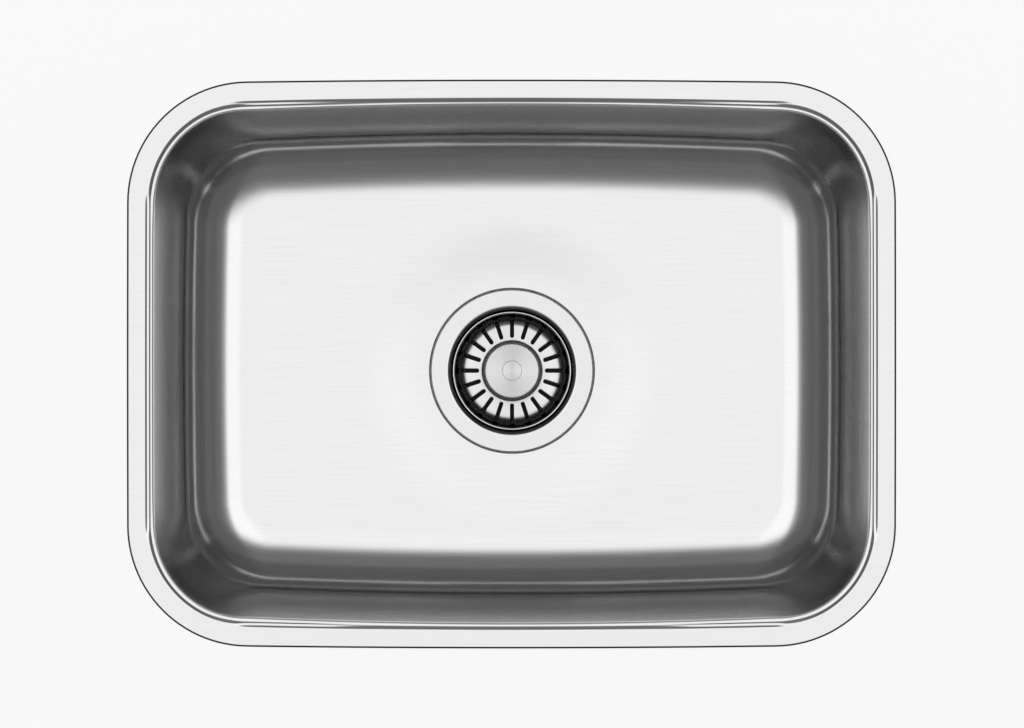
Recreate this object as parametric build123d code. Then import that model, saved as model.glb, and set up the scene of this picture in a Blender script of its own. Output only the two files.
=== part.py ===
from build123d import *
import math
import os

# Undermount kitchen sink: a pressed steel bowl with its basket strainer, waste and sound pads.
# Millimetres. The origin is the centre of the bowl's mouth, in the plane of the flange's top.
# +X runs along the bowl, +Y towards its back and +Z up. Everything hangs below the flange.

# ---- Driving dimensions ----

# Bowl
rim_length = 520.0          # flange, outer edge, along X
rim_width = 384.6           # flange, outer edge, along Y
rim_corner = 82.0           # outer corner radius
rim_bow_long = 2.5          # how far each long side bows out, over its full length
rim_bow_short = 0.5         # the same for each short side
sheet = 1.2                 # thickness of the steel
flange_land = 13.0          # flat part of the flange that seats under the worktop
bead_width = 5.5            # stepped ledge between the flange and the wall
bead_drop = 1.0             # how far that ledge lies below the flange
mouth_bend = 1.5            # bend from the ledge into the wall
depth = 200.0               # flange top to floor
wall_lean = 18.7            # how far a wall leans in over the depth
base_corner = 60.0          # corner radius where wall and floor would meet
base_bow_long = 7.0         # bow of the long walls at the floor
base_bow_short = 3.5        # bow of the short walls at the floor
base_radius = 41.0          # round between wall and floor

# Floor and drain place
drain_x = 0.0
drain_y = -5.0
floor_fall = 1.5            # fall of the floor towards the drain
fall_radius = 108.0         # where that fall starts
drain_hole = 45.0           # radius of the hole
recess_step = 1.0           # width of the sloping edge of the pressed recess

# Strainer body: one spun sheet
flange_radius = 56.0        # a 4 1/2 inch flange, nominally
strainer_sheet = 1.2
throat_radius = 42.0        # inside
lip_bend = 2.6              # roll from the flange into the throat, on the middle of the sheet
throat_bottom = 37.0        # depth at which the throat turns in
seat_depth = 40.0           # flange top to seat
seat_outer = 34.0           # outer radius of the seat
cup_bend = 6.0              # round between throat and seat
outlet_radius = 22.9        # short bore under the seat, which holds the crossbar
outlet_depth = 10.0
neck_radius = 19.5          # inside of the outlet neck
neck_length = 16.0
small_bend = 0.8
outlet_lip = 1.4            # round where the seat turns down into the outlet
thread_pitch = 2.0
throat_thread_height = 1.0
throat_thread_turns = 11
neck_thread_height = 1.5
neck_thread_turns = 6
thread_root = 0.45          # half the foot of a ridge, as a share of the pitch
thread_land = 0.1           # half its crest, the same

# Rings that clamp the strainer to the floor
seal_thickness = 0.8
gasket_thickness = 3.0
gasket_radius = 57.0
friction_thickness = 1.0
friction_radius = 56.0
lock_nut_height = 10.0
lock_nut_radius = 52.0
lock_lug_count = 6
lock_lug_reach = 5.0
lock_lug_width = 11.0
lock_flange_height = 2.5    # flange of the nut, against the friction ring

# Crossbar in the outlet
crossbar_thickness = 2.5
crossbar_rim = 1.9          # width of its outer ring
crossbar_arms = 4
crossbar_arm_width = 5.0
hub_radius = 8.0
hub_hole = 4.5
hub_height = 5.0

# Tailpiece joint
washer_thickness = 2.0
tail_radius = 19.05         # outside
tail_wall = 0.9
tail_length = 100.0
tail_flange_radius = 21.9
tail_flange_thickness = 1.2
tail_relief = 0.2           # how far the tube is turned down under its flange
tail_relief_height = 5.3
coupling_wall = 3.2
coupling_height = 15.0
coupling_floor = 2.0        # shoulder under the tailpiece's flange
coupling_rib_count = 16
coupling_rib_width = 3.0
coupling_rib_reach = 1.4

# Basket
basket_sheet = 0.7
basket_rim_drop = 4.0       # flange top down to the basket's rim
basket_rim_radius = 40.7
basket_rim_width = 1.0
basket_rim_bend = 0.6
basket_floor_drop = 26.0    # flange top down to the basket's floor, inside
basket_floor_radius = 38.2  # where wall and floor would meet
basket_bend = 8.0
slot_count = 20
slot_inner = 22.9
slot_outer = 35.2
slot_width = 2.5

# Knob, stem and stopper
knob_height = 14.0
knob_foot = 21.2            # radius at the basket's floor
knob_top = 20.9             # radius at the top, where skirt and top would meet
knob_sheet = 0.8
knob_bend = 2.5
dimple_bend = 0.45         # rounds of the dimple, on the middle of the sheet
stem_radius = 3.0
head_radius = 6.75
head_height = 0.9
spacer_radius = 4.5
spacer_shoulder = 7.0       # radius of the shoulder under the basket
stopper_radius = 33.6       # it also covers the flat of the seat
stopper_thickness = 5.0
stopper_bevel = 1.5
plate_radius = 15.0         # washer under the stopper
plate_thickness = 1.0
nut_across = 10.0
nut_height = 3.0
pin_radius = 2.2            # foot of the stem, inside the clip
clip_sheet = 0.5
clip_bulb = 4.2             # outer radius of the clip's bulb, as squeezed in the hub
clip_collar = 4.0           # height of the clip's collar
clip_length = 12.0
clip_taper = 2.0            # height of the flare from the collar to the bulb
clip_nose = 3.0             # height of the tapered nose that leads into the hub
clip_bend = 1.0
clip_slot_count = 3
clip_slot_width = 1.0

# Sound pads
pad_thickness = 3.0
pad_corner = 12.0
bottom_pad_length = 54.0    # along X
bottom_pad_width = 150.0    # along Y
bottom_pad_place = 147.0    # centre, from the middle of the bowl
side_pad_height = 95.0
side_pad_top = 45.0         # flange top down to the pad
side_pad_long = 280.0       # on the long walls
side_pad_short = 170.0      # on the short walls

# Clearances
running_gap = 0.08          # a turning or sliding fit
head_gap = 0.1              # round the stem's head
seat_gap = 0.02             # foot of the knob over the basket's floor
glue_gap = 0.1              # a pad and the steel
thread_gap = 0.3            # crest of a thread and the ring over it
loose_gap = 0.3             # parts that lie beside each other
stopper_gap = 0.3           # stopper over its seat
sleeve_gap = 0.3            # tailpiece in its nut
recess_gap = 0.5            # edge of the recess and the strainer's flange

# ---- Places worked out from them ----

mouth_inset = flange_land + bead_width
strainer_top = -depth - floor_fall
recess_depth = seal_thickness + strainer_sheet
recess_floor = strainer_top - recess_depth
recess_radius = flange_radius + recess_gap
floor_underside = recess_floor - sheet
throat_outer = throat_radius + strainer_sheet
throat_crest = throat_outer + throat_thread_height
ring_bore = throat_crest + thread_gap
seat_level = strainer_top - seat_depth
outlet_floor = seat_level - outlet_depth
neck_end = outlet_floor - neck_length
neck_outer = neck_radius + strainer_sheet
neck_crest = neck_outer + neck_thread_height
coupling_bore = neck_crest + thread_gap
washer_bottom = neck_end - washer_thickness
tail_flange_bottom = washer_bottom - tail_flange_thickness
relief_bottom = tail_flange_bottom - tail_relief_height
coupling_bottom = tail_flange_bottom - coupling_floor
basket_floor = strainer_top - basket_floor_drop
basket_rim = strainer_top - basket_rim_drop
knob_top_level = basket_floor + knob_height
knob_dimple = knob_top_level - head_height
stopper_bottom = seat_level + stopper_gap
stopper_top = stopper_bottom + stopper_thickness
plate_bottom = stopper_bottom - plate_thickness
nut_bottom = plate_bottom - nut_height
clip_bottom = nut_bottom - clip_length
crossbar_top = outlet_floor + crossbar_thickness


# ---- Helpers ----

def bowed_outline(length, width, corner, bow_long, bow_short):
    """A rectangle with bowed sides and round corners, as one face about the origin."""
    x, y = length / 2, width / 2
    corner_x, corner_y = x - bow_short, y - bow_long
    face = make_face([
        ThreePointArc((-corner_x, corner_y), (0, y), (corner_x, corner_y)),
        ThreePointArc((corner_x, corner_y), (x, 0), (corner_x, -corner_y)),
        ThreePointArc((corner_x, -corner_y), (0, -y), (-corner_x, -corner_y)),
        ThreePointArc((-corner_x, -corner_y), (-x, 0), (-corner_x, corner_y)),
    ])
    return fillet(face.vertices(), corner)


def rim_outline(inset):
    """The flange's outline, drawn in by a distance."""
    return bowed_outline(rim_length - 2 * inset, rim_width - 2 * inset, rim_corner - inset,
                         rim_bow_long, rim_bow_short)


def wall_block(grow):
    """The space inside the four leaning walls, grown by a distance, with a sharp edge at the floor."""
    inset = mouth_inset + wall_lean - grow
    base = bowed_outline(rim_length - 2 * inset, rim_width - 2 * inset, base_corner + grow,
                         base_bow_long, base_bow_short)
    return loft([rim_outline(mouth_inset - grow), Pos(0, 0, -depth - grow) * base], ruled=True)


def over_drain(shape):
    """Moves a shape made about the Z axis to the drain's axis."""
    return Pos(drain_x, drain_y, 0) * shape


def turned(*points):
    """A solid of revolution about Z from a closed outline of (radius, height) points."""
    return revolve(Plane.XZ * make_face(Polyline(*points, close=True)), Axis.Z)


def ring(inner, outer, bottom, top):
    """A plain ring about Z."""
    return turned((inner, bottom), (outer, bottom), (outer, top), (inner, top))


def spun_sheet(thickness, bends, *points):
    """A spun sheet part: the middle of the sheet is a path with round bends, turned about Z."""
    return revolve(Plane.XZ * trace(FilletPolyline(*points, radius=bends), thickness), Axis.Z)


def thread_ridges(root, height, first, turns):
    """The ridges of a thread, as separate rings that stand out of a wall."""
    foot, land = thread_root * thread_pitch, thread_land * thread_pitch
    ridges = []
    for turn in range(turns):
        middle = first - turn * thread_pitch
        ridges.append(turned((root - strainer_sheet / 2, middle - foot), (root, middle - foot),
                             (root + height, middle - land), (root + height, middle + land),
                             (root, middle + foot), (root - strainer_sheet / 2, middle + foot)))
    return ridges


def around(count, shape):
    """Copies of a shape, evenly spaced about Z."""
    return [Rot(0, 0, 360 / count * i) * shape for i in range(count)]


# ---- Bowl ----

def bowl():
    """The pressed bowl: flange, stepped ledge, leaning walls, round floor edge and drain recess."""
    cavity = wall_block(0)
    cavity = fillet(cavity.faces().sort_by(Axis.Z)[0].edges(), base_radius)
    skin = wall_block(sheet)
    skin = fillet(skin.faces().sort_by(Axis.Z)[0].edges(), base_radius + sheet)

    def dish(grow):
        return over_drain(turned((0, -depth - grow), (fall_radius + grow, -depth - grow),
                                 (recess_radius + recess_step + grow, strainer_top - grow),
                                 (recess_radius + grow, recess_floor - grow),
                                 (0, recess_floor - grow)))

    flange = extrude(rim_outline(0), -sheet)
    ledge = extrude(rim_outline(flange_land - sheet), -sheet - bead_drop)
    step = extrude(rim_outline(flange_land), -bead_drop)
    body = flange + ledge + skin + dish(sheet) - step - cavity - dish(0)
    body -= over_drain(ring(0, drain_hole, floor_underside - sheet, recess_floor + sheet))
    level = body.faces().filter_by(Axis.Z).filter_by_position(Axis.Z, -bead_drop, -bead_drop)
    ledge_top = [face for face in level if face.normal_at().Z > 0][0]
    return fillet(ledge_top.inner_wires()[0].edges(), mouth_bend)


# ---- Strainer body and the rings that clamp it ----

def strainer_body():
    """Flange, throat, seat and outlet neck spun from one sheet, with the ridges of its two threads."""
    half = strainer_sheet / 2
    throat = throat_radius + half
    outlet = outlet_radius + half
    neck = neck_radius + half
    body = spun_sheet(strainer_sheet,
                      [lip_bend, cup_bend, cup_bend, outlet_lip, small_bend, small_bend],
                      (flange_radius, strainer_top - half),
                      (throat, strainer_top - half),
                      (throat, strainer_top - throat_bottom),
                      (seat_outer, seat_level - half),
                      (outlet, seat_level - half),
                      (outlet, outlet_floor - half),
                      (neck, outlet_floor - half),
                      (neck, neck_end))
    ridges = thread_ridges(throat_outer, throat_thread_height,
                           floor_underside - gasket_thickness, throat_thread_turns)
    ridges += thread_ridges(neck_outer, neck_thread_height,
                            neck_end + thread_pitch * neck_thread_turns, neck_thread_turns)
    return over_drain(body + ridges)


def strainer_seal():
    """Thin seal between the strainer's flange and the recess."""
    bore = throat_radius + strainer_sheet / 2 + lip_bend + loose_gap
    return over_drain(ring(bore, flange_radius - loose_gap, recess_floor, recess_floor + seal_thickness))


def rubber_gasket():
    """Rubber gasket against the underside of the floor."""
    return over_drain(ring(ring_bore, gasket_radius, floor_underside - gasket_thickness, floor_underside))


def friction_ring():
    """Card ring that lets the nut turn against the rubber."""
    top = floor_underside - gasket_thickness
    return over_drain(ring(ring_bore, friction_radius, top - friction_thickness, top))


def lock_nut():
    """Ring nut under the floor, with a flange and lugs to turn it by."""
    top = floor_underside - gasket_thickness - friction_thickness
    nut = ring(ring_bore, lock_nut_radius, top - lock_nut_height, top)
    nut += ring(ring_bore, friction_radius, top - lock_flange_height, top)
    lug = Box(2 * lock_lug_reach, lock_lug_width, lock_nut_height, align=(Align.CENTER, Align.CENTER, Align.MAX))
    nut += around(lock_lug_count, Pos(lock_nut_radius, 0, top) * lug)
    return over_drain(nut)


def crossbar():
    """Four-armed spider that lies in the outlet and holds the stem's clip in its hub."""
    outer = outlet_radius - loose_gap
    spider = ring(outer - crossbar_rim, outer, outlet_floor, crossbar_top)
    arm = Pos((hub_radius + outer) / 2 - crossbar_rim / 2, 0, outlet_floor + crossbar_thickness / 2) * Box(
        outer - hub_radius, crossbar_arm_width, crossbar_thickness)
    spider += around(crossbar_arms, arm)
    spider += ring(0, hub_radius, crossbar_top - hub_height, crossbar_top)
    spider -= ring(0, hub_hole, crossbar_top - 2 * hub_height, crossbar_top + hub_height)
    return over_drain(spider)


# ---- Tailpiece joint ----

def tailpiece_washer():
    """Washer between the outlet neck and the tailpiece's flange."""
    return over_drain(ring(tail_radius - tail_wall, neck_crest - loose_gap, washer_bottom, neck_end))


def tailpiece():
    """Flanged waste tube, turned down a little where it passes through its nut."""
    bore = tail_radius - tail_wall
    relief = tail_radius - tail_relief
    return over_drain(turned((bore, washer_bottom - tail_length), (tail_radius, washer_bottom - tail_length),
                             (tail_radius, relief_bottom), (relief, relief_bottom),
                             (relief, tail_flange_bottom), (tail_flange_radius, tail_flange_bottom),
                             (tail_flange_radius, washer_bottom), (bore, washer_bottom)))


def coupling_nut():
    """Ribbed nut that draws the tailpiece up against the neck."""
    outer = coupling_bore + coupling_wall
    top = coupling_bottom + coupling_height
    nut = turned((tail_radius + sleeve_gap, coupling_bottom), (outer, coupling_bottom), (outer, top),
                 (coupling_bore, top), (coupling_bore, tail_flange_bottom),
                 (tail_radius + sleeve_gap, tail_flange_bottom))
    rib = Box(2 * coupling_rib_reach, coupling_rib_width, coupling_height,
              align=(Align.CENTER, Align.CENTER, Align.MIN))
    nut += around(coupling_rib_count, Pos(outer, 0, coupling_bottom) * rib)
    return over_drain(nut)


# ---- Basket, knob and stopper ----

def basket():
    """Slotted basket pressed from thin sheet, with a narrow rim."""
    half = basket_sheet / 2
    wall_top = basket_rim_radius - basket_rim_width
    shell = spun_sheet(basket_sheet, [basket_bend, basket_rim_bend],
                       (spacer_radius + running_gap, basket_floor - half),
                       (basket_floor_radius, basket_floor - half),
                       (wall_top, basket_rim - half),
                       (basket_rim_radius, basket_rim - half))
    slot = extrude(SlotOverall(slot_outer - slot_inner, slot_width), basket_floor_drop / 2)
    place = Pos((slot_inner + slot_outer) / 2, 0, basket_floor - 2 * basket_sheet)
    shell -= around(slot_count, place * slot)
    return over_drain(shell)


def knob():
    """Hollow turned knob over the middle of the basket, dimpled for the head of the stem."""
    half = knob_sheet / 2
    lean = math.atan2(knob_foot - knob_top, knob_height)
    foot = basket_floor + half * math.sin(lean) + seat_gap
    shell = spun_sheet(knob_sheet, [knob_bend, dimple_bend, dimple_bend],
                       (knob_foot - half, foot),
                       (knob_top - half, knob_top_level - half),
                       (head_radius + head_gap + half, knob_top_level - half),
                       (head_radius + head_gap + half, knob_dimple - half),
                       (stem_radius + running_gap, knob_dimple - half))
    return over_drain(shell)


def stem():
    """Headed post that carries the knob, the basket and the stopper, with a pin for the clip."""
    return over_drain(turned((0, knob_top_level), (head_radius, knob_top_level), (head_radius, knob_dimple),
                             (stem_radius, knob_dimple), (stem_radius, nut_bottom), (pin_radius, nut_bottom),
                             (pin_radius, nut_bottom - clip_collar), (0, nut_bottom - clip_collar)))


def stem_spacer():
    """Sleeve on the stem: its shoulder carries the basket and its top carries the knob."""
    bore = stem_radius + running_gap
    shoulder = basket_floor - basket_sheet
    return over_drain(turned((bore, stopper_top), (spacer_shoulder, stopper_top), (spacer_shoulder, shoulder),
                             (spacer_radius, shoulder), (spacer_radius, knob_dimple - knob_sheet),
                             (bore, knob_dimple - knob_sheet)))


def stopper():
    """Rubber disc that shuts the outlet."""
    bore = stem_radius + running_gap
    return over_drain(turned((bore, stopper_bottom), (stopper_radius - stopper_bevel, stopper_bottom),
                             (stopper_radius, stopper_bottom + stopper_bevel),
                             (stopper_radius - stopper_bevel, stopper_top), (bore, stopper_top)))


def stopper_washer():
    """Steel plate under the rubber."""
    return over_drain(ring(stem_radius + running_gap, plate_radius, plate_bottom, stopper_bottom))


def stem_nut():
    """Hexagon nut that closes the stack on the stem."""
    hexagon = RegularPolygon(nut_across / 2, 6, major_radius=False) - Circle(stem_radius + running_gap)
    return over_drain(Pos(0, 0, nut_bottom) * extrude(hexagon, nut_height))


def spring_clip():
    """Split spring bulb on the stem's pin, drawn squeezed as it sits in the crossbar's hub."""
    collar = pin_radius + running_gap + clip_sheet / 2
    bulb = clip_bulb - clip_sheet / 2
    bulge = nut_bottom - clip_collar
    clip = spun_sheet(clip_sheet, [clip_bend, clip_bend, clip_bend],
                      (collar, nut_bottom), (collar, bulge), (bulb, bulge - clip_taper),
                      (bulb, clip_bottom + clip_nose), (collar, clip_bottom))
    slit = Pos(clip_bulb, 0, clip_bottom) * Box(2 * clip_bulb, clip_slot_width, 2 * (clip_length - clip_collar))
    return over_drain(clip - around(clip_slot_count, slit))


# ---- Sound pads ----

def side_pads():
    """Pads glued to the four walls; each follows the lean and the bow of its wall."""
    layer = wall_block(sheet + glue_gap + pad_thickness) - wall_block(sheet + glue_gap)
    middle = -side_pad_top - side_pad_height / 2
    long_cut = extrude(Plane.XZ * RectangleRounded(side_pad_long, side_pad_height, pad_corner), rim_width)
    short_cut = extrude(Plane.YZ * RectangleRounded(side_pad_short, side_pad_height, pad_corner), rim_length)
    return {
        "side_pad_front": layer & Pos(0, 0, middle) * long_cut,
        "side_pad_back": layer & Pos(0, rim_width, middle) * long_cut,
        "side_pad_right": layer & Pos(0, 0, middle) * short_cut,
        "side_pad_left": layer & Pos(-rim_length, 0, middle) * short_cut,
    }


def bottom_pad(side):
    """Pad glued under the flat of the floor, on one side of the drain."""
    pad = extrude(RectangleRounded(bottom_pad_length, bottom_pad_width, pad_corner), -pad_thickness)
    return Pos(side * bottom_pad_place, 0, -depth - sheet - glue_gap) * pad


# ---- Files ----

os.makedirs("parts", exist_ok=True)
pieces = {
    "bowl": bowl(),
    "strainer_seal": strainer_seal(),
    "strainer_body": strainer_body(),
    "rubber_gasket": rubber_gasket(),
    "friction_ring": friction_ring(),
    "lock_nut": lock_nut(),
    "crossbar": crossbar(),
    "tailpiece_washer": tailpiece_washer(),
    "tailpiece": tailpiece(),
    "coupling_nut": coupling_nut(),
    "basket": basket(),
    "knob": knob(),
    "stem": stem(),
    "stem_spacer": stem_spacer(),
    "stopper": stopper(),
    "stopper_washer": stopper_washer(),
    "stem_nut": stem_nut(),
    "spring_clip": spring_clip(),
    "bottom_pad_left": bottom_pad(-1),
    "bottom_pad_right": bottom_pad(1),
}
pieces.update(side_pads())
for name, piece in pieces.items():
    export_step(piece, f"parts/{name}.step")
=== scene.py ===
import math

import bmesh
import bpy
import numpy as np
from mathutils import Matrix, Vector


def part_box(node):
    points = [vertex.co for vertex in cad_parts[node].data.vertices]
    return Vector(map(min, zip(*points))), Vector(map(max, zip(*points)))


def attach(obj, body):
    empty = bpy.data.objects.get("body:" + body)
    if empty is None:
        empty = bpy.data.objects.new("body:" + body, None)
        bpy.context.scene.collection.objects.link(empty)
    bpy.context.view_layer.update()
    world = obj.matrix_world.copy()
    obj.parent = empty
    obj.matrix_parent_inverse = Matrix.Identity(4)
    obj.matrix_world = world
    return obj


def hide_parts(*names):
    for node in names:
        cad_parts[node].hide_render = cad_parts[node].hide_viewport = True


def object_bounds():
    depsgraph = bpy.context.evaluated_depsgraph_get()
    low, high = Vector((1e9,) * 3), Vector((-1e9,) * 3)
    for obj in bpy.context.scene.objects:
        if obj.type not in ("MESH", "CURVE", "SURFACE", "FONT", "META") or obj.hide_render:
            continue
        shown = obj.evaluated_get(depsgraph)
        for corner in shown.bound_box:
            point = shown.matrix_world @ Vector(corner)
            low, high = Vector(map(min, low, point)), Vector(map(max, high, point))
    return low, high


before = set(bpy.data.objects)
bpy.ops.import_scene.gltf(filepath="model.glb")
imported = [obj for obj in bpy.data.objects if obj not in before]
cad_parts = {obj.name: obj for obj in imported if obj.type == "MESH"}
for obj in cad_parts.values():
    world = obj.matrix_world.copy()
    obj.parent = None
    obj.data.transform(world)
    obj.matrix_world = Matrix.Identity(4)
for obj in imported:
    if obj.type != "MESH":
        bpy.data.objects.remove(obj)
cadLow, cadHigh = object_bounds()
print("frame loaded,", len(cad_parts), "nodes")

mm = 0.001


def boxMm(node):
    # lowest and highest corner of a CAD node, in millimetres
    low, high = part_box(node)
    return np.array(low) / mm, np.array(high) / mm


strainerLow, strainerHigh = boxMm("strainer_body")
drainX = round((strainerLow[0] + strainerHigh[0]) / 2, 2)
drainY = round((strainerLow[1] + strainerHigh[1]) / 2, 2)


# camera: straight above, as the photograph was taken
view = {"x": 15.0, "y": 16.0, "height": 9400.0, "aimX": 0.34, "aimY": 0.04, "lens": 489.1, "sensor": 36.0,
        "far": 100.0}
cameraData = bpy.data.cameras.new("cameraAbove")
cameraData.lens = view["lens"]
cameraData.sensor_width = view["sensor"]
cameraData.clip_start = 0.1
cameraData.clip_end = view["far"]
cameraObject = bpy.data.objects.new("cameraAbove", cameraData)
cameraObject.location = (view["x"] * mm, view["y"] * mm, view["height"] * mm)
cameraObject.rotation_euler = (-math.atan((view["y"] - view["aimY"]) / view["height"]),
                               math.atan((view["x"] - view["aimX"]) / view["height"]), 0)
bpy.context.scene.collection.objects.link(cameraObject)
bpy.context.scene.camera = cameraObject
bpy.context.scene.view_settings.view_transform = "Standard"


def setInputs(tree, node, inputs):
    # an input is a plain value, an output socket, or a node whose first output is linked
    for key, value in inputs.items():
        if isinstance(value, bpy.types.Node):
            value = value.outputs[0]
        if isinstance(value, bpy.types.NodeSocket):
            tree.links.new(value, node.inputs[key])
        else:
            node.inputs[key].default_value = value


def addNode(tree, kind, settings=None, inputs=None):
    # one node: settings are its own properties
    node = tree.nodes.new(kind)
    for key, value in (settings or {}).items():
        setattr(node, key, value)
    setInputs(tree, node, inputs or {})
    return node


def linear(hexColour):
    # an sRGB hex colour as a linear colour with alpha
    parts = [int(hexColour[i:i + 2], 16) / 255 for i in (1, 3, 5)]
    return [p / 12.92 if p <= 0.04045 else ((p + 0.055) / 1.055) ** 2.4 for p in parts] + [1.0]


def smooth(value, low, high):
    # 0 below low, 1 above high, with soft ends; low may be above high
    share = np.clip((value - low) / (high - low), 0, 1)
    return share * share * (3 - 2 * share)


def gridPiece(name, points, body, material, replaced=(), closedRows=True):
    # points (rows, columns, 3) in millimetres; columns wrap round, and rows do if closedRows. The skin's
    # U and V are the mean lengths round the columns and along the rows, in metres
    rows, columns = points.shape[:2]
    i = np.arange(rows if closedRows else rows - 1)[:, None]
    j = np.arange(columns)[None, :]
    nextI, nextJ = (i + 1) % rows, (j + 1) % columns
    faces = np.stack(np.broadcast_arrays(i * columns + j, i * columns + nextJ,
                                         nextI * columns + nextJ, nextI * columns + j), -1).reshape(-1, 4)
    mesh = bpy.data.meshes.new(name)
    mesh.from_pydata((points.reshape(-1, 3) * mm).tolist(), [], faces.tolist())
    stepI = np.linalg.norm(np.diff(points, axis=0, append=points[:1]), axis=2).mean(1)
    stepJ = np.linalg.norm(np.diff(points, axis=1, append=points[:, :1]), axis=2).mean(0)
    around, along = np.append(0, np.cumsum(stepJ)) * mm, np.append(0, np.cumsum(stepI)) * mm
    corners = np.stack([
        np.stack(np.broadcast_arrays(around[j], along[i]), -1),
        np.stack(np.broadcast_arrays(around[j + 1], along[i]), -1),
        np.stack(np.broadcast_arrays(around[j + 1], along[i + 1]), -1),
        np.stack(np.broadcast_arrays(around[j], along[i + 1]), -1)], 2)
    layer = mesh.uv_layers.new(name="surface")
    layer.data.foreach_set("uv", corners.astype(np.float32).ravel())
    work = bmesh.new()
    work.from_mesh(mesh)
    bmesh.ops.remove_doubles(work, verts=work.verts, dist=1e-7)
    bmesh.ops.recalc_face_normals(work, faces=work.faces)
    work.to_mesh(mesh)
    work.free()
    mesh.shade_smooth()
    return place(name, mesh, body, material, replaced)


def place(name, mesh, body, material, replaced):
    # puts a finished mesh in the scene, on its body, in place of its CAD nodes
    piece = bpy.data.objects.new(name, mesh)
    mesh.materials.append(material)
    bpy.context.scene.collection.objects.link(piece)
    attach(piece, body)
    if replaced:
        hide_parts(*replaced)
    return piece


def bent(points, radii, turnStep=9.0):
    # a path through the points, with a round bend of the given radius at each inner one:
    # tangent length = radius * tan(half the turn), arc about the centre between the tangents
    points = np.array(points, float)
    path = [points[:1]]
    for before, corner, after, radius in zip(points, points[1:], points[2:], radii):
        back = (before - corner) / np.linalg.norm(before - corner)
        ahead = (after - corner) / np.linalg.norm(after - corner)
        turn = math.pi - math.acos(np.clip(back @ ahead, -1, 1))
        if radius == 0 or turn < 1e-6:
            path.append(corner[None])
            continue
        middle = (back + ahead) / np.linalg.norm(back + ahead)
        centre = corner + middle * radius / math.cos(turn / 2)
        start = corner + back * radius * math.tan(turn / 2) - centre
        side = 1 if start[1] * back[0] - start[0] * back[1] > 0 else -1
        angles = np.linspace(0, side * turn, max(2, math.ceil(math.degrees(turn) / turnStep)) + 1)
        path.append(centre + np.stack([start[0] * np.cos(angles) - start[1] * np.sin(angles),
                                       start[0] * np.sin(angles) + start[1] * np.cos(angles)], 1))
    path.append(points[-1:])
    return np.concatenate(path)


def divided(path, step):
    # the same path with no run longer than the step
    pieces = [np.linspace(a, b, max(1, math.ceil(np.linalg.norm(b - a) / step)), endpoint=False)
              for a, b in zip(path, path[1:])]
    return np.concatenate(pieces + [path[-1:]])


def sheetOutline(path, thickness):
    # both faces of a sheet whose middle is the path, with rounded ends, as one closed outline
    run = np.gradient(path, axis=0)
    run /= np.linalg.norm(run, axis=1)[:, None]
    across = np.stack([-run[:, 1], run[:, 0]], 1) * thickness / 2
    angles = np.radians([65, 35, 0, -35, -65])[:, None]
    endCap = path[-1] + np.cos(angles) * run[-1] * thickness * 0.4 + np.sin(angles) * across[-1] * 0.98
    startCap = path[0] - np.cos(angles) * run[0] * thickness * 0.4 - np.sin(angles) * across[0] * 0.98
    tucked = path.copy()
    tucked[0] += run[0] * thickness * 0.4
    tucked[-1] -= run[-1] * thickness * 0.4
    return np.concatenate([tucked + across, endCap - run[-1] * thickness * 0.4,
                           (tucked - across)[::-1], startCap + run[0] * thickness * 0.4])


def roundedOutline(points, radius):
    # a closed outline with the same small round on every corner
    points = np.array(points, float)
    middle = (points[-1] + points[0]) / 2
    looped = np.concatenate([[middle], points, [middle]])
    return bent(looped, [radius] * len(points), 30)[:-1]


def turnedPiece(name, outline, body, material, replaced, columns=160, ripple=None):
    # a solid of revolution about the drain's axis: radius = the outline's radius plus the ripple
    angle = np.linspace(0, 2 * np.pi, columns, endpoint=False)[None, :]
    radius = np.repeat(outline[:, :1], columns, 1)
    height = np.repeat(outline[:, 1:], columns, 1)
    if ripple is not None:
        radius = radius + ripple(radius, height, angle)
    points = np.stack([drainX + radius * np.cos(angle), drainY + radius * np.sin(angle), height], -1)
    closed = outline[:, 0].min() > 1e-6
    return gridPiece(name, points, body, material, replaced, closed)


def startMaterial(name, colour, metallic, roughness, fixed=None):
    # a principled surface with its plain values; fixed holds sockets that stay constant
    material = bpy.data.materials.new(name)
    material.use_nodes = True
    tree = material.node_tree
    surface = tree.nodes["Principled BSDF"]
    surface.inputs["Base Color"].default_value = linear(colour)
    surface.inputs["Metallic"].default_value = metallic
    surface.inputs["Roughness"].default_value = roughness
    setInputs(tree, surface, fixed or {})
    return material, tree, surface


def stretchedNoise(tree, vector, size, detail=3.0):
    # noise whose grains measure size (x, y, z) in millimetres
    scaled = addNode(tree, "ShaderNodeMapping", inputs={
        "Vector": vector, "Scale": [1 / (s * mm) for s in size]})
    return addNode(tree, "ShaderNodeTexNoise", inputs={
        "Vector": scaled, "Scale": 1.0, "Detail": detail})


def grainSpreads(tree, grain, look, rough=0.0):
    # a grain's grey factor, 1 +- greySpread, and its roughness, rough +- roughSpread. A noise lies mostly
    # between 0.3 and 0.7, so these are the ends of both ranges
    spreads = []
    for middle, spread in ((1.0, look["greySpread"]), (rough, look["roughSpread"])):
        spreads.append(addNode(tree, "ShaderNodeMapRange", inputs={
            "Value": grain, "From Min": 0.3, "From Max": 0.7, "To Min": middle - spread,
            "To Max": middle + spread}))
    return spreads


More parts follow.
